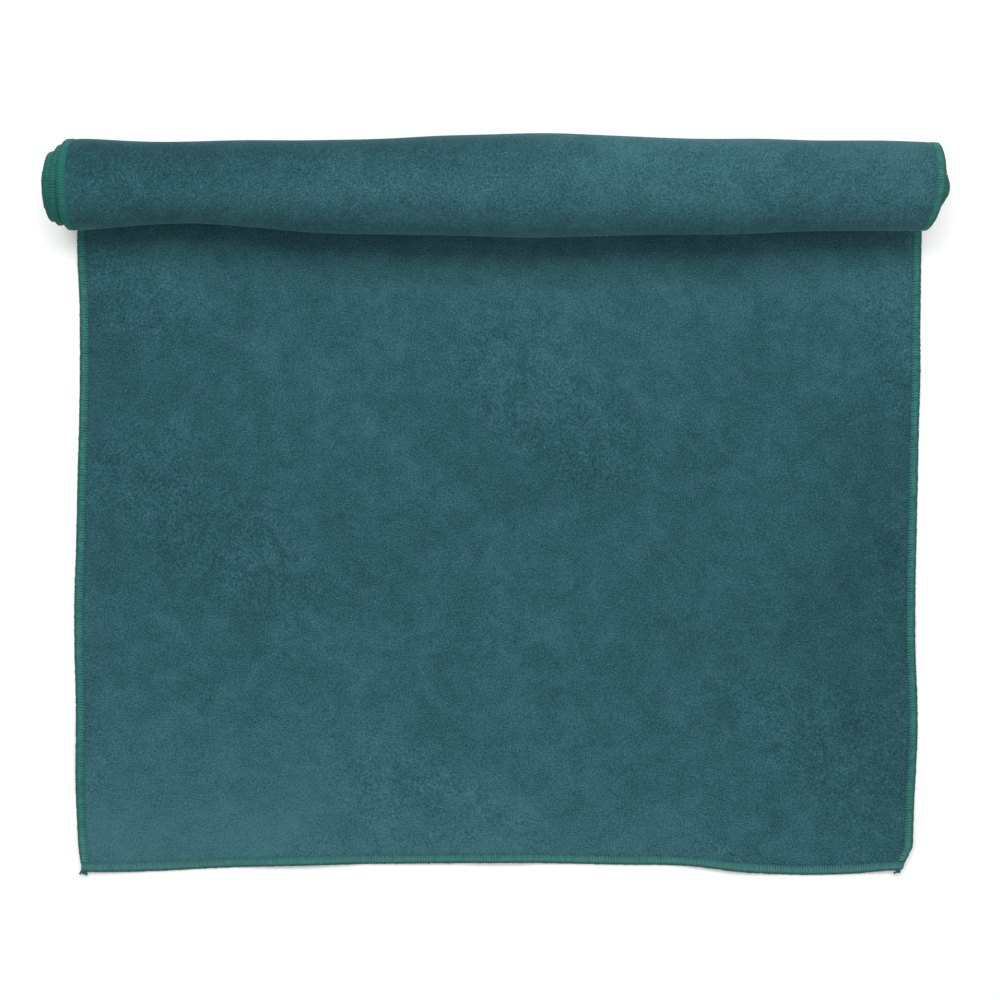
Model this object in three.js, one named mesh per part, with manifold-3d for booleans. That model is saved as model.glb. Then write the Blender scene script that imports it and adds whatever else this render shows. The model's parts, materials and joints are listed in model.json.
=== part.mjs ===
// A quick dry travel towel, part rolled. One rectangle of napped microfibre is overlocked on all four
// edges with three threads. It lies open for two fifths of its length and is rolled up for the rest.
// Millimetres. +X runs along the roll, +Y from the open hem towards the roll, +Z up.

import * as THREE from 'three';
import { mergeVertices } from 'three/addons/utils/BufferGeometryUtils.js';
import Module from 'manifold-3d';

// The towel, opened flat
const WIDTH = 700;
const LENGTH = 1400;
const CLOTH_THICKNESS = 2.4;
const SEAM_THICKNESS = 2.5;

// How it lies
const OPEN_LENGTH = 564; // open hem to the line that the roll rests on
const ROLL_RADIUS = 38; // outside of the outer turn
const TURN_SPACING = 4; // from one turn to the next, through the cloth and the air between
const TURN_CLEARANCE = 0.6; // between the outer turn and the turns that roll inside it

// The overlock seam in section: distances in from the towel's edge, and heights from its under face
const CLOTH_EDGE = 0.7; // the cloth is trimmed here, inside the wrapped thread
const NAP_EDGE = 7.9; // the seam presses the nap flat as far as this
const RIM_LOW = 0.8;
const RIM_HIGH = 1.6;
const LOWER_LOOPER_WIDTH = 7.3;
const LOWER_LOOPER_HIGH = 0.5;
const UPPER_LOOPER_WIDTH = 6.3;
const UPPER_LOOPER_LOW = 1.9;
const EDGE_WRAP = 0.4;
const NEEDLE_NEAR = 6.7;
const NEEDLE_FAR = 7.3;
const THREAD_GAP = 0.3;

// Where the towel is divided between the flat sheet and the moving turns
const SHEET_UNDER_ROLL = 14; // the flat sheet runs this far past the line that the roll rests on
const OUTER_TURN_FROM = 22.5; // degrees, from the bottom of the roll and up its back
const OUTER_TURN_TO = 330;
const INNER_TURNS_LENGTH = 170; // measured along the cloth, the hem included
const STEPS_PER_TURN = 24;

// Inside the outer turn the cloth is divided into arcs of half a turn, and of a quarter turn around the
// open core, so that each is a simple body. Angles wound since the middle turns begin, in degrees.
const MIDDLE_CLOTH_CUTS = [225, 405, 585, 765];
const INNER_CLOTH_CUTS = [945, 1035, 1125, 1215];

const CORE_SHIFT = -13; // the turns have slid out to the left, the innermost this far

const INNER_HEM_BEND = 8; // degrees that the inner hem turns in towards the core

// Corner thread tails
const TAIL_LENGTH = 5;
const TAIL_RADIUS = 0.6;
const TAIL_INSET = 3;

const TAU = 2 * Math.PI;
const radians = THREE.MathUtils.degToRad;
const half = WIDTH / 2;

const clothMaterial = new THREE.MeshStandardMaterial({ color: 0x2f5b62, roughness: 0.95, metalness: 0 });
const threadMaterial = new THREE.MeshStandardMaterial({ color: 0x2f6e66, roughness: 0.85, metalness: 0 });

const towel = new THREE.Group();

function addPiece(name, geometry, material) {
  const mesh = new THREE.Mesh(geometry, material);
  mesh.name = name;
  towel.add(mesh);
}

// ---- Joining two closed solids

const manifold = await Module();
manifold.setup();

function toSolid(geometry) {
  const bare = geometry.clone();
  bare.deleteAttribute('normal');
  bare.deleteAttribute('uv');
  const merged = mergeVertices(bare, 1e-4);
  return new manifold.Manifold(new manifold.Mesh({
    numProp: 3,
    vertProperties: new Float32Array(merged.attributes.position.array),
    triVerts: new Uint32Array(merged.index.array),
  }));
}

function join(first, second) {
  const mesh = toSolid(first).add(toSolid(second)).getMesh();
  const geometry = new THREE.BufferGeometry();
  geometry.setAttribute('position', new THREE.BufferAttribute(mesh.vertProperties, 3));
  geometry.setIndex(new THREE.BufferAttribute(mesh.triVerts, 1));
  return geometry;
}

// ---- Seam sections, as outlines of [distance in from the edge, height]

const box2 = (near, far, low, high) => [[near, low], [far, low], [far, high], [near, high]];

const threadSections = {
  lower_looper: box2(0, LOWER_LOOPER_WIDTH, 0, LOWER_LOOPER_HIGH),
  upper_looper: [
    [0, RIM_LOW],
    [EDGE_WRAP, RIM_LOW],
    [EDGE_WRAP, UPPER_LOOPER_LOW],
    [UPPER_LOOPER_WIDTH, UPPER_LOOPER_LOW],
    [UPPER_LOOPER_WIDTH, SEAM_THICKNESS],
    [0, SEAM_THICKNESS],
  ],
  needle: box2(NEEDLE_NEAR, NEEDLE_FAR, UPPER_LOOPER_LOW, SEAM_THICKNESS),
};

// The same outline as [x, height] on the left (side -1) or the right (side 1) edge
const onSide = (section, side) => section.map(([inward, height]) => [side * (half - inward), height]);

// The cloth across its whole width: full nap in the field, pressed thin under both side seams
function clothSection() {
  const field = half - NAP_EDGE;
  const rim = half - CLOTH_EDGE;
  const right = [[field, 0], [field, RIM_LOW], [rim, RIM_LOW], [rim, RIM_HIGH], [field, RIM_HIGH],
    [field, CLOTH_THICKNESS]];
  const left = right.map(([x, height]) => [-x, height]).reverse();
  return [...right, ...left];
}

const toShape = (outline) => new THREE.Shape(outline.map(([x, y]) => new THREE.Vector2(x, y)));

// ---- The flat sheet

const slab = (x0, x1, y0, y1, z0, z1) => new THREE.BoxGeometry(x1 - x0, y1 - y0, z1 - z0)
  .translate((x0 + x1) / 2, (y0 + y1) / 2, (z0 + z1) / 2);

// An outline of [across, height] pushed along +Y from y0 to y1
function alongSheet(outline, y0, y1) {
  const geometry = new THREE.ExtrudeGeometry(toShape(outline), { depth: y1 - y0, bevelEnabled: false });
  return geometry.rotateX(Math.PI / 2).translate(0, y1, 0);
}

// An outline of [in from the hem, height] pushed along X for the towel's whole width
function alongHem(outline) {
  const geometry = new THREE.ExtrudeGeometry(toShape(outline), { depth: WIDTH, bevelEnabled: false });
  return geometry.applyMatrix4(new THREE.Matrix4().makeBasis(
    new THREE.Vector3(0, 1, 0),
    new THREE.Vector3(0, 0, 1),
    new THREE.Vector3(1, 0, 0),
  )).translate(-half, 0, 0);
}

// A short trimmed chain of thread that leaves the origin along -Y and then curls to its end
function threadTail(end) {
  const path = new THREE.QuadraticBezierCurve3(
    new THREE.Vector3(0, 0, 0),
    new THREE.Vector3(0, end.y / 2, 0),
    end,
  );
  const round = new THREE.Shape(new THREE.EllipseCurve(0, 0, TAIL_RADIUS, TAIL_RADIUS).getPoints(8).slice(1));
  return new THREE.ExtrudeGeometry(round, { steps: 4, extrudePath: path });
}

const sheetEnd = OPEN_LENGTH + SHEET_UNDER_ROLL;
const cornerEnd = LOWER_LOOPER_WIDTH + THREAD_GAP; // side threads begin behind the hem's threads

addPiece('sheet_cloth', join(
  slab(CLOTH_EDGE - half, half - CLOTH_EDGE, CLOTH_EDGE, sheetEnd, RIM_LOW, RIM_HIGH),
  slab(NAP_EDGE - half, half - NAP_EDGE, NAP_EDGE, sheetEnd, 0, CLOTH_THICKNESS),
), clothMaterial);

for (const [thread, section] of Object.entries(threadSections)) {
  addPiece(`front_hem_${thread}_thread`, alongHem(section), threadMaterial);
  for (const [sideName, side] of [['left', -1], ['right', 1]]) {
    addPiece(`sheet_${sideName}_${thread}_thread`,
      alongSheet(onSide(section, side), cornerEnd, sheetEnd), threadMaterial);
  }
}

for (const [sideName, side] of [['left', -1], ['right', 1]]) {
  const tail = threadTail(new THREE.Vector3(TAIL_LENGTH / 4, -TAIL_LENGTH, 0));
  tail.translate(side * (half - TAIL_INSET), -THREAD_GAP, RIM_LOW);
  addPiece(`front_${sideName}_thread_tail`, tail, threadMaterial);
}

// ---- The roll
// A turn is followed by its phase: 0 at the bottom of the roll, a quarter turn on at its back, then over
// the top and down the front. The path is the towel's outer face.

const rollCentre = new THREE.Vector3(0, OPEN_LENGTH, ROLL_RADIUS);
const innerRadius = ROLL_RADIUS - SEAM_THICKNESS - TURN_CLEARANCE; // outside of the turns in the outer one
const neutralRadius = innerRadius - CLOTH_THICKNESS / 2;
const outerTurnLength = TAU * (ROLL_RADIUS - CLOTH_THICKNESS / 2);
const woundLength = LENGTH - OPEN_LENGTH - outerTurnLength;

const spiralRadius = (phase) => innerRadius - (TURN_SPACING * phase) / TAU;

// The phase at which a given length of cloth has been wound inwards from the start of the spiral
function phaseAtLength(length) {
  const coreSquared = neutralRadius ** 2 - (TURN_SPACING * length) / Math.PI;
  return (TAU * (neutralRadius - Math.sqrt(coreSquared))) / TURN_SPACING;
}

const innerStart = phaseAtLength(woundLength - INNER_TURNS_LENGTH);
const spiralEnd = phaseAtLength(woundLength - NAP_EDGE);

class RollPath extends THREE.Curve {
  constructor(radiusAt, from, to) {
    super();
    Object.assign(this, { radiusAt, from, to, arcLengthDivisions: 2000 });
  }

  getPoint(t, target = new THREE.Vector3()) {
    const phase = THREE.MathUtils.lerp(this.from, this.to, t);
    const radius = this.radiusAt(phase);
    return target.set(0, radius * Math.sin(phase), -radius * Math.cos(phase)).add(rollCentre);
  }
}

// The turns stand further out to the left the further they wind in, and the first of them the most
function shiftAt(phase) {
  const wound = THREE.MathUtils.clamp(phase / spiralEnd, 0, 1);
  return CORE_SHIFT * (1 - (1 - wound) ** 3);
}

// Moves each point of a spiral sweep sideways by the shift at its own phase
function slideTurns(geometry) {
  const position = geometry.attributes.position;
  for (let i = 0; i < position.count; i += 1) {
    const y = position.getY(i) - rollCentre.y;
    const z = position.getZ(i) - rollCentre.z;
    const angle = (Math.atan2(y, -z) + TAU) % TAU;
    const turn = Math.floor((innerRadius - Math.hypot(y, z)) / TURN_SPACING - angle / TAU + 0.1);
    position.setX(i, position.getX(i) + shiftAt(angle + TAU * turn));
  }
  return geometry;
}

const stepsAlong = (path) => Math.ceil((STEPS_PER_TURN * (path.to - path.from)) / TAU);

// An outline of [x, height above the outer face] swept along the roll. The sweep's own x axis is -X.
function sweep(outline, path) {
  const shape = toShape(outline.map(([x, height]) => [-x, height]));
  return new THREE.ExtrudeGeometry(shape, { steps: stepsAlong(path), extrudePath: path });
}

// Divides a path into arcs, at its steps nearest to the given angles, with a hair's gap at each
function divide(path, angles) {
  const steps = stepsAlong(path);
  const cuts = angles.map((angle) => {
    const share = (radians(angle) - path.from) / (path.to - path.from);
    return THREE.MathUtils.lerp(path.from, path.to, Math.round(steps * share) / steps);
  });
  const ends = cuts.map((cut) => cut - THREAD_GAP / (path.radiusAt(cut) - CLOTH_THICKNESS));
  return [path.from, ...cuts].map((from, i) => new RollPath(path.radiusAt, from, [...ends, path.to][i]));
}

const outerPath = new RollPath(() => ROLL_RADIUS, radians(OUTER_TURN_FROM), radians(OUTER_TURN_TO));
const middlePath = new RollPath(spiralRadius, 0, innerStart - THREAD_GAP / neutralRadius);
const innerPath = new RollPath(spiralRadius, innerStart, spiralEnd);

const middleArcs = divide(middlePath, MIDDLE_CLOTH_CUTS);
const innerArcs = divide(innerPath, INNER_CLOTH_CUTS);

addPiece('outer_turn_cloth', sweep(clothSection(), outerPath), clothMaterial);
middleArcs.forEach((arc, i) => {
  addPiece(`middle_turns_cloth_${i + 1}`, slideTurns(sweep(clothSection(), arc)), clothMaterial);
});

for (const [thread, section] of Object.entries(threadSections)) {
  for (const [sideName, side] of [['left', -1], ['right', 1]]) {
    const outline = onSide(section, side);
    addPiece(`outer_turn_${sideName}_${thread}_thread`, sweep(outline, outerPath), threadMaterial);
    addPiece(`middle_turns_${sideName}_${thread}_thread`, slideTurns(sweep(outline, middlePath)),
      threadMaterial);
    addPiece(`inner_turns_${sideName}_${thread}_thread`, slideTurns(sweep(outline, innerPath)),
      threadMaterial);
  }
}

// The inner hem stays straight, because the seam is stiffer than the cloth, and it turns in a little
// towards the core. It is made flat, like the open hem, and carried to the end of the spiral: its own
// +Y runs back along the towel.
const endTangent = innerPath.getTangent(1);
const endInward = new THREE.Vector3(0, -endTangent.z, endTangent.y);
const toInnerHem = new THREE.Matrix4()
  .makeBasis(new THREE.Vector3(-1, 0, 0), endTangent.clone().negate(), endInward)
  .setPosition(innerPath.getPoint(1).setX(CORE_SHIFT))
  .multiply(new THREE.Matrix4().makeTranslation(0, 0, CLOTH_THICKNESS / 2))
  .multiply(new THREE.Matrix4().makeRotationX(-radians(INNER_HEM_BEND)))
  .multiply(new THREE.Matrix4().makeTranslation(0, -NAP_EDGE, -CLOTH_THICKNESS / 2));

const rimRoot = 1; // how deep the pressed rim runs into the full cloth
const innerRimEnd = NAP_EDGE + rimRoot;
const innerRim = slab(CLOTH_EDGE - half, half - CLOTH_EDGE, CLOTH_EDGE, innerRimEnd, RIM_LOW, RIM_HIGH);
innerArcs.forEach((arc, i) => {
  const field = slideTurns(sweep(clothSection(), arc));
  const isLast = i === innerArcs.length - 1;
  const cloth = isLast ? join(field, innerRim.applyMatrix4(toInnerHem)) : field;
  addPiece(`inner_turns_cloth_${i + 1}`, cloth, clothMaterial);
});

for (const [thread, section] of Object.entries(threadSections)) {
  addPiece(`inner_hem_${thread}_thread`, alongHem(section).applyMatrix4(toInnerHem), threadMaterial);
}

for (const [sideName, side] of [['left', 1], ['right', -1]]) {
  const tail = threadTail(new THREE.Vector3(0, -TAIL_LENGTH / 2, TAIL_LENGTH * 0.7));
  tail.translate(side * (half - TAIL_INSET), -THREAD_GAP, RIM_LOW);
  addPiece(`inner_${sideName}_thread_tail`, tail.applyMatrix4(toInnerHem), threadMaterial);
}

// ---- The origin is under the middle of the whole towel, on the surface that it lies on

const extent = new THREE.Box3().setFromObject(towel);
const middle = extent.getCenter(new THREE.Vector3());
towel.position.set(-middle.x, -middle.y, -extent.min.z);

export default towel;
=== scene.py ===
"""A quick dry travel towel, open at one end and rolled up at the other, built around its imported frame.

The towel is described flat, and then placed. A point of it has three flat coordinates:
across, from -0.35 m at the left edge to 0.35 m at the right one; along, from 0 at the open hem to
1.4 m at the inner hem; and height above the cloth's under face. place() lays such points on the floor
or winds them into the roll, so the cloth and every stitch on it follow the same shape."""

import json
import math

import bpy
import numpy as np
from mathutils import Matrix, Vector


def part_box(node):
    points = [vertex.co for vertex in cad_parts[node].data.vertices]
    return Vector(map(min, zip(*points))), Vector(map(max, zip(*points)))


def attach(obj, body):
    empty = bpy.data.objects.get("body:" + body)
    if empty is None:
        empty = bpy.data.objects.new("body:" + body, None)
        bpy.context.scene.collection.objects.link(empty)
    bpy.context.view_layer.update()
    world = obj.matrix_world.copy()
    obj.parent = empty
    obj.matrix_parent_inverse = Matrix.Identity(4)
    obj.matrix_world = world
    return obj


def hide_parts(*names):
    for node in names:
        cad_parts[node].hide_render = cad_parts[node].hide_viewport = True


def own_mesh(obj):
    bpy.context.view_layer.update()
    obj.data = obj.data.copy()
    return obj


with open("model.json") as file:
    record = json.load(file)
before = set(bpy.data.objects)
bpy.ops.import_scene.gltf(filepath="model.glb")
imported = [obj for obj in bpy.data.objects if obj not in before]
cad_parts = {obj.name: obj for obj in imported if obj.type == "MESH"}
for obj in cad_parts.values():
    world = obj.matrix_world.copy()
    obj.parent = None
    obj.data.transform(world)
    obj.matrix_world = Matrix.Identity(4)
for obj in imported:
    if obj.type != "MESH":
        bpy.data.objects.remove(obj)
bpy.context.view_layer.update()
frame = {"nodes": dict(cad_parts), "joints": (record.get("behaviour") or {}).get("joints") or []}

# ---- The towel, flat, in metres

WIDTH = 0.700
LENGTH = 1.400
NAP = 0.0024  # the cloth's thickness with its nap
TAU = 2 * math.pi

# The seams press the cloth thin at its edges
TRIM = 0.0007  # the cloth ends this far inside the wrapped thread
RIM_LOW = 0.0007
RIM_HIGH = 0.0017
PRESSED_TO = 0.0060  # distances in from the edge, between which the nap rises to its full height
FULL_FROM = 0.0105

# ---- Where it lies, from the frame

hem_low, hem_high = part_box("front_hem_lower_looper_thread")
HEM_Y = hem_low.y
CENTRE_X = (hem_low.x + hem_high.x) / 2
joints = {joint["name"]: joint for joint in frame["joints"]}
ROLL_Y = joints["roll_turn"]["pos_m"][1]
ROLL_RADIUS = joints["roll_turn"]["pos_m"][2]
OPEN = ROLL_Y - HEM_Y  # open hem to the line that the roll rests on

# ---- How it is wound, as in the frame

SPIRAL_RADIUS = 0.0349  # outside of the turns within the outer one
TURN_SPACING = 0.0040
RAMP_FROM = 0.78 * TAU  # from here the outer turn closes in, to run into the spiral
INNER_TURNS = 0.170  # length of cloth in the innermost turns, which slide out on their own

# The open sheet is divided here, into a piece before the line and a piece behind it.
SPLIT = 0.060


def smoothstep(low, high, x):
    t = np.clip((x - low) / (high - low), 0, 1)
    return t * t * (3 - 2 * t)


def curve_through(points):
    """A smooth function of one number that passes through a few points and is level beyond them."""
    xs, ys = (np.array(column, float) for column in zip(*points))
    slopes = np.gradient(ys, xs)
    slopes[[0, -1]] = 0

    def at(x):
        x = np.clip(x, xs[0], xs[-1])
        i = np.clip(np.searchsorted(xs, x) - 1, 0, len(xs) - 2)
        step = xs[i + 1] - xs[i]
        t = (x - xs[i]) / step
        return (ys[i] * (1 + 2 * t) * (1 - t) ** 2 + ys[i + 1] * t ** 2 * (3 - 2 * t)
                + step * (slopes[i] * t * (1 - t) ** 2 - slopes[i + 1] * t ** 2 * (1 - t)))

    return at


def ripple(x, y, wavelength, seed, waves=7):
    """Soft unrepeating relief from -1 to 1, as a sum of long waves in seeded directions."""
    rng = np.random.default_rng(seed)
    total = np.zeros(np.broadcast(x, y).shape)
    for _ in range(waves):
        angle, phase = rng.uniform(0, TAU, 2)
        number = TAU / (wavelength * rng.uniform(0.7, 1.6))
        total = total + np.sin(number * (x * math.cos(angle) + y * math.sin(angle)) + phase)
    return total / (0.6 * waves)


# ---- The shape it has taken

SWELL = 0.0014  # how high the open sheet's long swells rise off the floor
EDGE_WAVE = 0.0026  # how high its edges wave
EDGE_WAVE_WIDTH = 0.045  # how far in from an edge its waves reach
DRAWN_IN = 0.0095  # how far the open hem's right corner is drawn in by its seam
DRAWN_IN_LENGTH = 0.019  # and how far from the hem this begins
FLARE = 0.0008  # how far a turn opens where it stands out at the left, with nothing to hold it in
LOOSENESS = 0.0005  # how far the turns wander in and out
EDGE_WANDER = 0.0006  # how far the turns' edges wander sideways

# How far the left and right edges lie to the right of straight lines, by distance along the towel
left_edge = curve_through([
    (0, 0.0050), (0.015, 0.0029), (0.05, 0.0004), (0.12, 0.0002), (0.20, -0.0014), (0.28, 0.0004),
    (0.37, 0.0026), (0.47, 0.0030), (0.52, 0.0010), (0.56, 0.0015), (0.62, 0.0030), (0.68, 0.0018),
    (0.75, 0.0028), (0.83, 0.0024), (0.90, 0.0022), (1.10, 0.0035), (1.25, 0.0045), (1.40, 0.0045),
])
right_edge = curve_through([
    (0, -0.0048), (0.02, -0.0044), (0.05, -0.0029), (0.115, 0.0003), (0.20, -0.0020), (0.28, -0.0004),
    (0.40, 0.0020), (0.48, 0.0029), (0.56, 0.0044), (0.62, 0.0058), (0.68, 0.0063), (0.71, 0.0038),
    (0.74, 0.0000), (0.78, -0.0030), (0.82, 0.0000), (0.86, 0.0065), (0.882, 0.0120), (0.905, 0.0184),
    (0.925, 0.0120), (0.98, 0.0040), (1.40, 0.0020),
])
# How far the open hem stands back from a straight line, by distance across
hem_line = curve_through([
    (-0.35, -0.0026), (-0.30, -0.0024), (-0.23, 0.0008), (-0.16, 0.0030), (-0.08, 0.0042), (0.02, 0.0050),
    (0.10, 0.0033), (0.17, 0.0017), (0.205, -0.0025), (0.255, -0.0052), (0.30, -0.0043), (0.35, -0.0008),
])
# How much fuller or slacker the roll is than its frame, and how far it bows towards the open hem, by
# distance across
roll_fullness = curve_through([
    (-0.366, 0.940), (-0.35, 0.960), (-0.34, 0.955), (-0.30, 0.890), (-0.245, 0.866), (-0.20, 0.920),
    (-0.12, 0.990), (-0.04, 1.055), (0.03, 1.088), (0.08, 1.060), (0.13, 1.018), (0.20, 1.005),
    (0.25, 0.957), (0.30, 0.945), (0.36, 0.925),
])
roll_bow = curve_through([
    (-0.366, 0.0042), (-0.352, 0.0018), (-0.34, 0.0014), (-0.29, -0.0002), (-0.245, -0.0010),
    (-0.20, 0.0006), (-0.16, 0.0026), (-0.04, 0.0030), (0.10, 0.0032), (0.16, 0.0037), (0.24, 0.0025),
    (0.36, 0.0027),
])


def outer_face(phase):
    """Radius of the towel's outer face, by the angle wound since the line the roll rests on."""
    closing = (ROLL_RADIUS - SPIRAL_RADIUS) * smoothstep(RAMP_FROM, TAU, phase)
    return ROLL_RADIUS - closing - TURN_SPACING * np.maximum(phase - TAU, 0) / TAU


# The length wound by each angle, measured along the middle of the cloth, over more turns than there are
WOUND_ANGLES = np.linspace(0, 6 * TAU, 6000)
WOUND_STEPS = np.diff(WOUND_ANGLES) * (outer_face(WOUND_ANGLES) - NAP / 2)[1:]
WOUND_LENGTHS = np.concatenate([[0], np.cumsum(WOUND_STEPS)])


def phase_at(along):
    """The angle at which a point of the towel lies in the roll, by its distance along the towel."""
    return np.interp(along - OPEN, WOUND_LENGTHS, WOUND_ANGLES)


OUTER_TURN_END = OPEN + float(np.interp(TAU, WOUND_ANGLES, WOUND_LENGTHS))
LAST_PHASE = float(phase_at(LENGTH))

# How far the turns have slid along the roll, out to the left: the first two by most of it
slid = curve_through([
    (0.70 * TAU, 0), (1.5 * TAU, -0.0072), (2.5 * TAU, -0.0145), (3.5 * TAU, -0.0178),
    (LAST_PHASE, -0.0180),
])


def lift(across, along):
    """Height of the open sheet's under face above the floor."""
    from_edge = np.minimum(WIDTH / 2 - np.abs(across), along)
    swell = np.maximum(ripple(across, along, 0.26, 3) - 0.1, 0) * SWELL
    at_edge = 1 - smoothstep(0.0, EDGE_WAVE_WIDTH, from_edge)
    edge_wave = np.maximum(ripple(across, along, 0.11, 11), 0) * EDGE_WAVE * at_edge
    near_roll = smoothstep(OPEN - 0.075, OPEN - 0.025, along)
    return (swell + edge_wave) * (1 - near_roll)


def place(across, along, height):
    """The place in the row frame of points of the towel given by their flat coordinates."""
    across, along, height = np.broadcast_arrays(*(np.asarray(a, float) for a in (across, along, height)))
    share = across / WIDTH + 0.5
    sideways = left_edge(along) * (1 - share) + right_edge(along) * share
    at_right_corner = np.clip(1 - along / DRAWN_IN_LENGTH, 0, 1) * smoothstep(0.29, WIDTH / 2, across)
    sideways = sideways - DRAWN_IN * at_right_corner

    sheet_y = HEM_Y + along + hem_line(across) * (1 - smoothstep(0, SPLIT, along))
    sheet_z = height + lift(across, along)

    phase = phase_at(along)
    standing_out = -WIDTH / 2 - across - slid(phase)
    radius = outer_face(phase) - height
    radius = radius + FLARE * smoothstep(-0.002, 0.008, standing_out) * (phase > TAU)
    radius = radius + LOOSENESS * ripple(across, phase * 0.04, 0.10, 5) * smoothstep(0.3, 1.2, phase)
    along_roll = across + slid(phase)
    fullness = roll_fullness(along_roll)
    bow = roll_bow(along_roll) * smoothstep(0, 0.7, phase)
    roll_y = ROLL_Y - bow + fullness * radius * np.sin(phase)
    roll_z = fullness * (ROLL_RADIUS - radius * np.cos(phase))
    edge_wander = EDGE_WANDER * ripple(0, along, 0.06, 8) * smoothstep(0.2, 1.0, phase)

    rolled = along > OPEN
    return np.stack([
        CENTRE_X + across + sideways + np.where(rolled, slid(phase) + edge_wander, 0),
        np.where(rolled, roll_y, sheet_y),
        np.where(rolled, roll_z, sheet_z),
    ], axis=-1)


# ---- Meshes

def new_object(name, vertices, faces, material):
    mesh = bpy.data.meshes.new(name)
    mesh.from_pydata(np.asarray(vertices).tolist(), [], faces)
    mesh.shade_smooth()
    mesh.set_sharp_from_angle(angle=math.radians(50))
    mesh.materials.append(material)
    obj = bpy.data.objects.new(name, mesh)
    bpy.context.scene.collection.objects.link(obj)
    return obj


def cloth_heights(across, along):
    """Heights of the cloth's under and upper faces, pressed together under the seams."""
    from_edge = np.minimum.reduce([WIDTH / 2 - np.abs(across), along, LENGTH - along])
    full = smoothstep(PRESSED_TO, FULL_FROM, from_edge)
    return RIM_LOW * (1 - full), RIM_HIGH + (NAP - RIM_HIGH) * full


def stations(start, end, step, fine_at_start=False, fine_at_end=False):
    """Distances from start to end about a step apart, closer together where a seam presses the cloth."""
    edge = np.array([TRIM, 0.0025, 0.0045, 0.0060, 0.0072, 0.0084, 0.0095, 0.0110, 0.0140])
    near = start + edge if fine_at_start else np.array([start])
    far = end - edge[::-1] if fine_at_end else np.array([end])
    count = max(2, round((far[0] - near[-1]) / step) + 1)
    return np.concatenate([near[:-1], np.linspace(near[-1], far[0], count), far[1:]])


def cloth_piece(name, start, end, across_step, along_step, material):
    """A closed piece of the cloth between two distances along the towel."""
    columns = stations(-WIDTH / 2, WIDTH / 2, across_step, True, True)
    rows = stations(start, end, along_step, start == 0, end == LENGTH)
    across, along = np.meshgrid(columns, rows)
    under, upper = cloth_heights(across, along)
    vertices = np.concatenate([place(across, along, h).reshape(-1, 3) for h in (upper, under)])

    row_count, column_count = across.shape
    index = np.arange(row_count * column_count).reshape(row_count, column_count)
    top = np.stack([index[:-1, :-1], index[:-1, 1:], index[1:, 1:], index[1:, :-1]], -1).reshape(-1, 4)
    rim = np.concatenate([index[0, :], index[1:, -1], index[-1, -2::-1], index[-2:0:-1, 0]])
    next_rim = np.roll(rim, -1)
    size = index.size
    wall = np.stack([rim, rim + size, next_rim + size, next_rim], -1)
    return new_object(name, vertices, np.concatenate([top, top[:, ::-1] + size, wall]).tolist(), material)


# Each thread's run within one stitch, as (in from the edge in mm, height in mm, share of a stitch along
# the seam), and half its width and half its thickness. Both loopers thin out towards the needle's line.
STITCH = 0.0023
THREAD_RUNS = {
    "upper_looper": ([(7.2, 1.6, 0.00), (6.6, 2.15, 0.05), (5.2, 2.28, 0.13), (3.6, 2.26, 0.22),
                      (2.1, 2.16, 0.31), (1.15, 1.95, 0.40), (0.75, 1.60, 0.50)],
                     0.00118, 0.00050),
    "lower_looper": ([(7.2, 1.0, 0.00), (6.6, 0.42, -0.04), (4.4, 0.31, -0.12), (2.2, 0.31, -0.24),
                      (0.55, 0.45, -0.36), (0.05, 1.05, -0.42), (0.45, 1.75, -0.47), (1.25, 2.02, -0.50)],
                     0.00116, 0.00046),
    "needle": ([(6.9, 1.5, -0.44), (6.95, 2.2, -0.26), (7.0, 2.36, 0.00), (6.95, 2.2, 0.26),
                (6.9, 1.5, 0.44)],
               0.00032, 0.00024),
}
TUBE_SIDES = 6
TAIL_RINGS = 9  # along each strand of a thread tail


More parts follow.
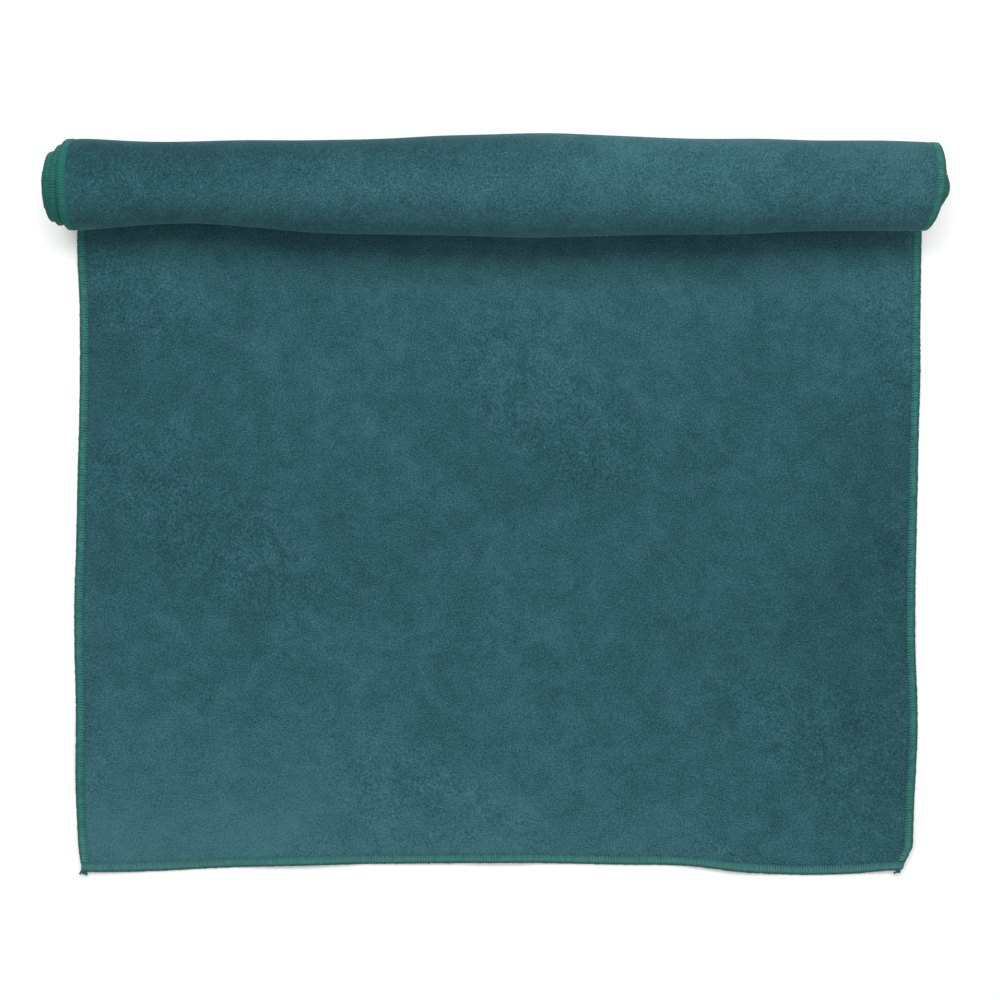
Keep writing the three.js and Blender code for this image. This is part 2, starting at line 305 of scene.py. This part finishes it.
def stitch_tubes(thread, positions, rng):
    """All stitches of one thread on one seam, as (in from the edge, distance along the seam, height)
    of every point, and the faces. A needle stitch lies along the seam, and a looper's across it."""
    run, half_width, half_thickness = THREAD_RUNS[thread]
    run = np.array(run) * (1e-3, 1e-3, STITCH)
    count, rings = len(positions), len(run)
    turn = TAU * np.arange(TUBE_SIDES) / TUBE_SIDES
    taper = np.ones(rings) if thread == "needle" else np.interp(run[:, 0], [0.003, 0.0072], [1, 0.74])
    taper[[0, -1]] *= 0.7
    heading = np.gradient(run, axis=0)
    heading /= np.linalg.norm(heading, axis=1)[:, None]
    flat_way = np.array([1.0, 0, 0]) if thread == "needle" else np.array([0, 0, 1.0])
    normal = np.cross(heading, flat_way)
    normal /= np.linalg.norm(normal, axis=1)[:, None]
    ring = (half_width * taper[:, None, None] * np.cos(turn)[None, :, None] * flat_way
            + half_thickness * taper[:, None, None] * np.sin(turn)[None, :, None] * normal[:, None, :])
    shape = run[:, None, :] + ring

    points = np.broadcast_to(shape, (count, rings, TUBE_SIDES, 3)).copy()
    swell = rng.uniform(0.94, 1.06, (count, 1, 1))
    points[..., 2] = (points[..., 2] - run[:, None, 2]) * swell + run[:, None, 2]
    points[..., 2] += positions[:, None, None] + rng.normal(0, 0.03 * STITCH, (count, 1, 1))
    points[..., 0] += rng.normal(0, 0.00010, (count, 1, 1)) * (points[..., 0] < 0.003)
    if thread != "needle":
        points[..., 0] *= 1 + rng.normal(0, 0.03, (count, 1, 1)) * (points[..., 0] > 0.005)

    start = (np.arange(count) * rings * TUBE_SIDES)[:, None, None]
    here = np.arange(rings - 1)[:, None] * TUBE_SIDES + np.arange(TUBE_SIDES)[None, :]
    beside = np.arange(rings - 1)[:, None] * TUBE_SIDES + np.roll(np.arange(TUBE_SIDES), -1)[None, :]
    here, beside = start + here[None], start + beside[None]
    sides = np.stack([here, beside, beside + TUBE_SIDES, here + TUBE_SIDES], -1).reshape(-1, 4)
    cap = np.arange(TUBE_SIDES)
    caps = np.concatenate([start[:, 0] + cap[::-1], start[:, 0] + (rings - 1) * TUBE_SIDES + cap])
    return points[..., 0].ravel(), points[..., 2].ravel(), points[..., 1].ravel(), sides, caps


def thread_piece(name, thread, edge, start, end, material, seed):
    """One thread's stitches along one edge of the towel, between two distances along that edge."""
    count = round((end - start) / STITCH)
    positions = start + (end - start) * (np.arange(count) + 0.5) / count
    inward, distance, height, sides, caps = stitch_tubes(thread, positions, np.random.default_rng(seed))
    if edge == "left":
        vertices = place(inward - WIDTH / 2, distance, height)
    elif edge == "right":
        vertices = place(WIDTH / 2 - inward, distance, height)
    elif edge == "front_hem":
        vertices = place(distance, inward, height)
    else:
        vertices = place(distance, LENGTH - inward, height)
    faces = sides.tolist() + caps.tolist()
    if edge in ("right", "front_hem"):
        faces = [face[::-1] for face in faces]
    obj = new_object(name, vertices, faces, material)
    obj.data.attributes.new("in_from_edge", "FLOAT", "POINT").data.foreach_set("value", inward)
    return obj


def tail_piece(name, corner, strands, material, seed):
    """What is left of a seam's chain of thread at a corner, as a few frayed strands.
    corner is (across, along), and each strand is points from there, as (across, along, height)."""
    rng = np.random.default_rng(seed)
    vertices, faces = [], []
    turn = TAU * np.arange(TUBE_SIDES) / TUBE_SIDES
    for points, radius in strands:
        steps = np.linspace(0, 1, TAIL_RINGS)
        knots = np.linspace(0, 1, len(points))
        line = np.stack([np.interp(steps, knots, column) for column in np.array(points, float).T], axis=-1)
        line[1:] += rng.normal(0, 0.00012, (TAIL_RINGS - 1, 3))
        line += (*corner, 0)
        heading = np.gradient(line, axis=0)
        heading /= np.linalg.norm(heading, axis=1)[:, None]
        side = np.cross(heading, (0.2, 0.1, 1.0))
        side /= np.linalg.norm(side, axis=1)[:, None]
        up = np.cross(side, heading)
        girth = radius * (1 + 0.18 * np.sin(steps * 17))
        girth[-1] *= 0.5
        ring = side[:, None] * np.cos(turn)[:, None] + up[:, None] * np.sin(turn)[:, None]
        tube = line[:, None] + girth[:, None, None] * ring
        start = len(vertices)
        vertices.extend(place(*tube.reshape(-1, 3).T).tolist())
        for i in range(TAIL_RINGS - 1):
            ring_start = start + TUBE_SIDES * i
            for j in range(TUBE_SIDES):
                here, beside = ring_start + j, ring_start + (j + 1) % TUBE_SIDES
                faces.append([here, here + TUBE_SIDES, beside + TUBE_SIDES, beside])
        last_ring = start + TUBE_SIDES * (TAIL_RINGS - 1)
        faces.append([start + j for j in range(TUBE_SIDES)])
        faces.append([last_ring + j for j in reversed(range(TUBE_SIDES))])
    return new_object(name, vertices, faces, material)


# ---- Materials

def new_material(name):
    material = bpy.data.materials.new(name)
    material.use_nodes = True
    return material, material.node_tree.nodes, material.node_tree.links


def node(nodes, kind, **values):
    made = nodes.new(kind)
    for key, value in values.items():
        if key.startswith("in_"):
            made.inputs[key[3:].replace("_", " ").title()].default_value = value
        else:
            setattr(made, key, value)
    return made


def noise(nodes, links, where, scale, detail=2.0, roughness=0.5, distortion=0.0):
    made = node(nodes, "ShaderNodeTexNoise", in_scale=scale, in_detail=detail, in_roughness=roughness,
                in_distortion=distortion)
    links.new(where, made.inputs["Vector"])
    return made.outputs["Fac"]


def spread(nodes, links, value, low, high, to_low, to_high):
    """Maps value from one range to another, clamped."""
    made = node(nodes, "ShaderNodeMapRange")
    made.inputs["From Min"].default_value = low
    made.inputs["From Max"].default_value = high
    made.inputs["To Min"].default_value = to_low
    made.inputs["To Max"].default_value = to_high
    links.new(value, made.inputs["Value"])
    return made.outputs["Result"]


def combine(nodes, links, operation, first, second):
    made = node(nodes, "ShaderNodeMath", operation=operation)
    for socket, value in zip(made.inputs, (first, second)):
        if isinstance(value, (int, float)):
            socket.default_value = value
        else:
            links.new(value, socket)
    return made.outputs["Value"]


def ramp(nodes, links, value, stops):
    made = node(nodes, "ShaderNodeValToRGB")
    while len(made.color_ramp.elements) < len(stops):
        made.color_ramp.elements.new(0.5)
    for element, (position, colour) in zip(made.color_ramp.elements, stops):
        element.position = position
        element.color = (*colour, 1)
    links.new(value, made.inputs["Fac"])
    return made.outputs["Color"]


def tinted(nodes, links, colour, amount, tint):
    """The colour, mixed with the tint by an amount from 0 to 1."""
    made = node(nodes, "ShaderNodeMix", data_type="RGBA")
    links.new(amount, made.inputs["Factor"])
    links.new(colour, made.inputs["A"])
    made.inputs["B"].default_value = (*tint, 1)
    return made.outputs["Result"]


def bump(nodes, links, height, strength, distance, under=None):
    made = node(nodes, "ShaderNodeBump", in_strength=strength, in_distance=distance)
    links.new(height, made.inputs["Height"])
    if under is not None:
        links.new(under, made.inputs["Normal"])
    return made.outputs["Normal"]


def weighted_sum(nodes, links, terms, start=0.5):
    """start plus, for each (value, weight), weight times how far the value is above a half."""
    total = start - 0.5 * sum(weight for _, weight in terms)
    for value, weight in terms:
        total = combine(nodes, links, "ADD", total, combine(nodes, links, "MULTIPLY", value, weight))
    return total


DIMMEST_Y = HEM_Y + 0.24  # the cloth's colour is painted darkest about here and lighter away from it: painted light, brighter towards the open hem and the roll
COMBED_Y = HEM_Y + 0.338  # before here it is combed lighter towards the left, and behind here darker


def napped_cloth():
    """Brushed microfibre: a fine curly grain of nap tufts, over soft patches where the nap lies
    different ways. Its colour is painted lighter towards the open hem and towards and over the roll, as
    painted light: brighter light falls there, and by the roll it lifts the roll's shade on the sheet. On
    the left it is combed lighter near the open hem and darker further back, and it is brushed darker on
    the left part of the roll's back."""
    material, nodes, links = new_material("napped_cloth")
    shader = nodes["Principled BSDF"]
    where = node(nodes, "ShaderNodeTexCoord").outputs["Object"]

    broad = noise(nodes, links, where, 7, 2, 0.5)
    patches = noise(nodes, links, where, 24, 3, 0.5, 0.4)
    strokes = noise(nodes, links, where, 62, 3, 0.5, 0.9)
    tufts = noise(nodes, links, where, 400, 1, 0.5, 0.8)
    tips = noise(nodes, links, where, 800, 1, 0.6, 0.2)

    place_on_towel = node(nodes, "ShaderNodeSeparateXYZ")
    links.new(where, place_on_towel.inputs["Vector"])
    # Painted light: the colour is lighter towards the open hem and towards the roll, standing in for
    # brighter light there and lifting the roll's shade on the sheet.
    off_dimmest = combine(nodes, links, "SUBTRACT", place_on_towel.outputs["Y"], DIMMEST_Y)
    painted_light_hem_and_roll = combine(nodes, links, "MULTIPLY", off_dimmest, off_dimmest)
    painted_light_hem_and_roll = combine(nodes, links, "MULTIPLY", painted_light_hem_and_roll, 4.0)
    painted_light_hem_and_roll = combine(nodes, links, "ADD", combine(nodes, links, "MINIMUM", painted_light_hem_and_roll, 0.23), 0.45)
    off_centre = combine(nodes, links, "SUBTRACT", place_on_towel.outputs["X"], CENTRE_X)
    sides = combine(nodes, links, "MULTIPLY", off_centre, off_centre)
    sides = combine(nodes, links, "MULTIPLY", sides, -0.75)
    sides = combine(nodes, links, "ADD", sides, 0.52)
    at_back = spread(nodes, links, place_on_towel.outputs["Y"], ROLL_Y - 0.012, ROLL_Y + 0.024, 0, 1)
    at_left = spread(nodes, links, off_centre, -0.04, 0.10, 1, 0)
    brushed_dark = combine(nodes, links, "MULTIPLY", at_back, at_left)
    further_back = combine(nodes, links, "SUBTRACT", place_on_towel.outputs["Y"], COMBED_Y)
    further_back = combine(nodes, links, "MINIMUM", further_back, 0.12)
    further_right = combine(nodes, links, "SUBTRACT", off_centre, 0.235)
    combed = combine(nodes, links, "MULTIPLY", further_right, further_back)

    tone = weighted_sum(nodes, links, [(broad, 0.35), (patches, 0.33), (strokes, 0.52), (tufts, 0.36),
                                       (tips, 1.70), (painted_light_hem_and_roll, 1.0), (sides, 1.0), (combed, 1.7),
                                       (brushed_dark, -0.34)], 1.15)
    colour = ramp(nodes, links, tone, [
        (0.0, (0.0085, 0.0365, 0.0445)),
        (0.5, (0.0200, 0.0760, 0.0905)),
        (1.0, (0.0450, 0.1320, 0.1540)),
    ])
    links.new(colour, shader.inputs["Base Color"])
    links.new(spread(nodes, links, tufts, 0.3, 0.7, 0.85, 0.98), shader.inputs["Roughness"])
    shader.inputs["Specular IOR Level"].default_value = 0.12
    shader.inputs["Sheen Weight"].default_value = 0.18
    shader.inputs["Sheen Roughness"].default_value = 0.40
    shader.inputs["Sheen Tint"].default_value = (0.30, 0.75, 0.80, 1)

    soft = bump(nodes, links, strokes, 0.30, 0.0006)
    pile = weighted_sum(nodes, links, [(tufts, 0.7), (tips, 1.0)])
    links.new(bump(nodes, links, pile, 0.60, 0.0006, soft), shader.inputs["Normal"])
    return material


def seam_thread():
    """Bulky texturised polyester, in fine filaments. It is painted darker at the very edge, where the
    loopers' loops cross: painted shade, where the seam's edge turns down. It looks darker where the nap
    begins to cover it and paler along the open hem. On the left end of the roll it is painted a deeper
    green: painted shade, lit by light bounced among the green threads."""
    material, nodes, links = new_material("seam_thread")
    shader = nodes["Principled BSDF"]
    where = node(nodes, "ShaderNodeTexCoord").outputs["Object"]
    tone = noise(nodes, links, where, 210, 2, 0.6)
    filaments = noise(nodes, links, where, 2600, 2, 0.6)
    mixed = combine(nodes, links, "ADD", spread(nodes, links, tone, 0.3, 0.7, 0, 0.5),
                    spread(nodes, links, filaments, 0.3, 0.7, 0, 0.5))
    bright = ramp(nodes, links, mixed, [
        (0.1, (0.012, 0.080, 0.071)),
        (0.5, (0.023, 0.140, 0.126)),
        (0.9, (0.038, 0.195, 0.176)),
    ])
    inward = node(nodes, "ShaderNodeAttribute", attribute_name="in_from_edge").outputs["Fac"]
    # Painted shade: the thread is painted darker within 1 to 3 mm of the edge, where the seam's edge turns
    # down into shade.
    painted_shade_at_rim = spread(nodes, links, inward, 0.0010, 0.0030, 0.70, 0.0)
    in_nap = spread(nodes, links, inward, 0.0025, 0.0075, 0.0, 0.55)
    place_on_towel = node(nodes, "ShaderNodeSeparateXYZ")
    links.new(where, place_on_towel.inputs["Vector"])
    at_hem = spread(nodes, links, place_on_towel.outputs["Y"], HEM_Y + 0.010, HEM_Y + 0.040, 0.42, 0)
    # Painted shade: on the left end of the roll, off the floor, the thread is painted a darker, deeper
    # green, as it lies in shade lit by light bounced among the green threads.
    at_left = spread(nodes, links, place_on_towel.outputs["X"], CENTRE_X - 0.33, CENTRE_X - 0.32, 0.75, 0)
    off_floor = spread(nodes, links, place_on_towel.outputs["Z"], 0.006, 0.012, 0, 1)
    colour = tinted(nodes, links, bright, at_hem, (0.072, 0.200, 0.195))
    colour = tinted(nodes, links, colour, combine(nodes, links, "MULTIPLY", at_left, off_floor),
                    (0.002, 0.118, 0.092))
    colour = tinted(nodes, links, colour, in_nap, (0.020, 0.105, 0.110))
    colour = tinted(nodes, links, colour, painted_shade_at_rim, (0.009, 0.060, 0.050))
    links.new(colour, shader.inputs["Base Color"])
    links.new(spread(nodes, links, filaments, 0.3, 0.7, 0.6, 0.85), shader.inputs["Roughness"])
    shader.inputs["Specular IOR Level"].default_value = 0.2
    shader.inputs["Sheen Weight"].default_value = 0.12
    shader.inputs["Sheen Roughness"].default_value = 0.4
    shader.inputs["Sheen Tint"].default_value = (0.40, 0.85, 0.75, 1)
    links.new(bump(nodes, links, filaments, 0.5, 0.0002), shader.inputs["Normal"])
    return material


cloth = napped_cloth()
thread_finish = seam_thread()

# ---- The pieces

def wear(obj, body, nodes):
    """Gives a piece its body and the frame's nodes that it stands for."""
    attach(obj, body)
    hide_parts(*nodes)
    return obj


# name: (body, node prefix, first and last distance along the towel, steps across and along)
CLOTH_PARTS = {
    "sheet_front": ("flat_sheet", "sheet", 0.0, SPLIT, 0.0050, 0.0050),
    "sheet_back": ("flat_sheet", "sheet", SPLIT, OPEN, 0.0050, 0.0050),
    "outer_turn": ("outer_turn", "outer_turn", OPEN, OUTER_TURN_END, 0.0060, 0.0030),
    "middle_turns": ("middle_turns", "middle_turns", OUTER_TURN_END, LENGTH - INNER_TURNS, 0.0110, 0.0032),
    "inner_turns": ("inner_turns", "inner_turns", LENGTH - INNER_TURNS, LENGTH, 0.0110, 0.0028),
}
CORNER = 0.0076  # the side seams begin this far from a hem, behind the hem's own seam


def seams_of(part, prefix, start, end):
    """The seams on a part of the towel, as (edge, name in this scene, name in the frame, where its
    stitches begin and end along that edge)."""
    first = start + CORNER if start == 0 else start
    last = end - CORNER if end == LENGTH else end
    seams = [(side, f"{part}_{side}", f"{prefix}_{side}", first, last) for side in ("left", "right")]
    if start == 0:
        seams.append(("front_hem", "front_hem", "front_hem", -WIDTH / 2, WIDTH / 2))
    if end == LENGTH:
        seams.append(("inner_hem", "inner_hem", "inner_hem", -WIDTH / 2, WIDTH / 2))
    return seams


seed = 100
for part, (body, prefix, start, end, across_step, along_step) in CLOTH_PARTS.items():
    pieces = []
    for thread in THREAD_RUNS:
        for edge, seam, frame_seam, first, last in seams_of(part, prefix, start, end):
            name = f"{seam}_{thread}_stitches"
            piece = thread_piece(name, thread, edge, first, last, thread_finish, seed)
            wear(piece, body, [f"{frame_seam}_{thread}_thread"])
            pieces.append(piece)
            seed += 1
    cloth_part = cloth_piece(f"{part}_napped_cloth", start, end, across_step, along_step, cloth)
    cloth_nodes = [node_name for node_name in frame["nodes"] if node_name.startswith(f"{prefix}_cloth")]
    wear(cloth_part, body, cloth_nodes)
    if part == "sheet_back":
        line = tuple(place(0, SPLIT, 0).ravel())
        for piece in [cloth_part, *pieces]:
            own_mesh(piece)


# Strands of each corner's thread tail, in metres from its corner, with their radii
TAILS = {
    "front_left": ("flat_sheet", (-WIDTH / 2, 0.0), [
        ([(0.0016, 0.0012, 0.0012), (-0.0008, -0.0010, 0.0013), (-0.0019, -0.0018, 0.0011)], 0.00095),
        ([(0.0026, 0.0010, 0.0012), (0.0042, -0.0016, 0.0013), (0.0048, -0.0026, 0.0011)], 0.00085),
        ([(0.0010, 0.0004, 0.0013), (0.0018, -0.0010, 0.0014), (0.0036, -0.0012, 0.0013)], 0.00110)]),
    "front_right": ("flat_sheet", (WIDTH / 2, 0.0), [
        ([(-0.0010, 0.0014, 0.0012), (-0.0010, -0.0014, 0.0013), (-0.0016, -0.0022, 0.0011)], 0.00095),
        ([(-0.0030, 0.0010, 0.0012), (-0.0042, -0.0016, 0.0013), (-0.0062, -0.0026, 0.0011)], 0.00085),
        ([(-0.0008, 0.0002, 0.0013), (-0.0024, -0.0012, 0.0014), (-0.0044, -0.0012, 0.0013)], 0.00110)]),
    "inner_left": ("inner_turns", (-WIDTH / 2, LENGTH), [
        ([(0.0016, -0.0012, 0.0012), (-0.0008, 0.0008, 0.0014), (-0.0022, 0.0024, 0.0018)], 0.00090),
        ([(0.0026, -0.0010, 0.0012), (0.0030, 0.0016, 0.0016), (0.0042, 0.0030, 0.0022)], 0.00080)]),
    "inner_right": ("inner_turns", (WIDTH / 2, LENGTH), [
        ([(-0.0016, -0.0012, 0.0012), (0.0008, 0.0010, 0.0014), (0.0020, 0.0026, 0.0018)], 0.00090),
        ([(-0.0026, -0.0010, 0.0012), (-0.0028, 0.0016, 0.0016), (-0.0040, 0.0032, 0.0020)], 0.00080)]),
}
for corner, (body, at, strands) in TAILS.items():
    tail = tail_piece(f"{corner}_frayed_thread_tail", at, strands, thread_finish, seed)
    wear(tail, body, [f"{corner}_thread_tail"])
    seed += 1

# ---- Floor, light and camera

FLOOR_SIZE = 12
FLOOR_HEIGHT = -0.0002  # just under the towel


def pale_floor():
    material, nodes, _ = new_material("pale_floor")
    shader = nodes["Principled BSDF"]
    shader.inputs["Base Color"].default_value = (0.93, 0.93, 0.93, 1)
    shader.inputs["Roughness"].default_value = 0.9
    bpy.ops.mesh.primitive_plane_add(size=FLOOR_SIZE, location=(0, 0, FLOOR_HEIGHT))
    floor = bpy.context.object
    floor.name = "floor"
    floor.data.materials.append(material)


def area_light(name, size, power, location, target):
    """A rectangular softbox at a location, facing a target."""
    data = bpy.data.lights.new(name, "AREA")
    data.shape = "RECTANGLE"
    data.size, data.size_y = size
    data.energy = power
    light = bpy.data.objects.new(name, data)
    bpy.context.scene.collection.objects.link(light)
    light.location = location
    light.rotation_euler = (Vector(target) - Vector(location)).to_track_quat("-Z", "Y").to_euler()


pale_floor()
area_light("key", size=(2.6, 0.85), power=29, location=(0.0, 1.00, 1.70), target=(0, 0.1, 0))

STUDIO_BRIGHTNESS = 0.82
scene = bpy.context.scene
scene.world = bpy.data.worlds.new("studio")
scene.world.use_nodes = True
background = scene.world.node_tree.nodes["Background"]
background.inputs["Color"].default_value = (1, 1, 1, 1)
background.inputs["Strength"].default_value = STUDIO_BRIGHTNESS
scene.view_settings.view_transform = "Standard"

# The camera looks straight down at the towel
CAMERA_HEIGHT = 1.40
CAMERA_RIGHT = 0.0029  # of the towel's middle line
CAMERA_BACK = 0.3067  # from the open hem
VIEW_WIDTH = 0.8333  # of floor
SENSOR_WIDTH = 36  # mm
camera_data = bpy.data.cameras.new("camera")
camera_data.sensor_width = SENSOR_WIDTH
camera_data.lens = SENSOR_WIDTH * CAMERA_HEIGHT / VIEW_WIDTH
camera = bpy.data.objects.new("camera", camera_data)
scene.collection.objects.link(camera)
camera.location = (CENTRE_X + CAMERA_RIGHT, HEM_Y + CAMERA_BACK, CAMERA_HEIGHT)
scene.camera = camera
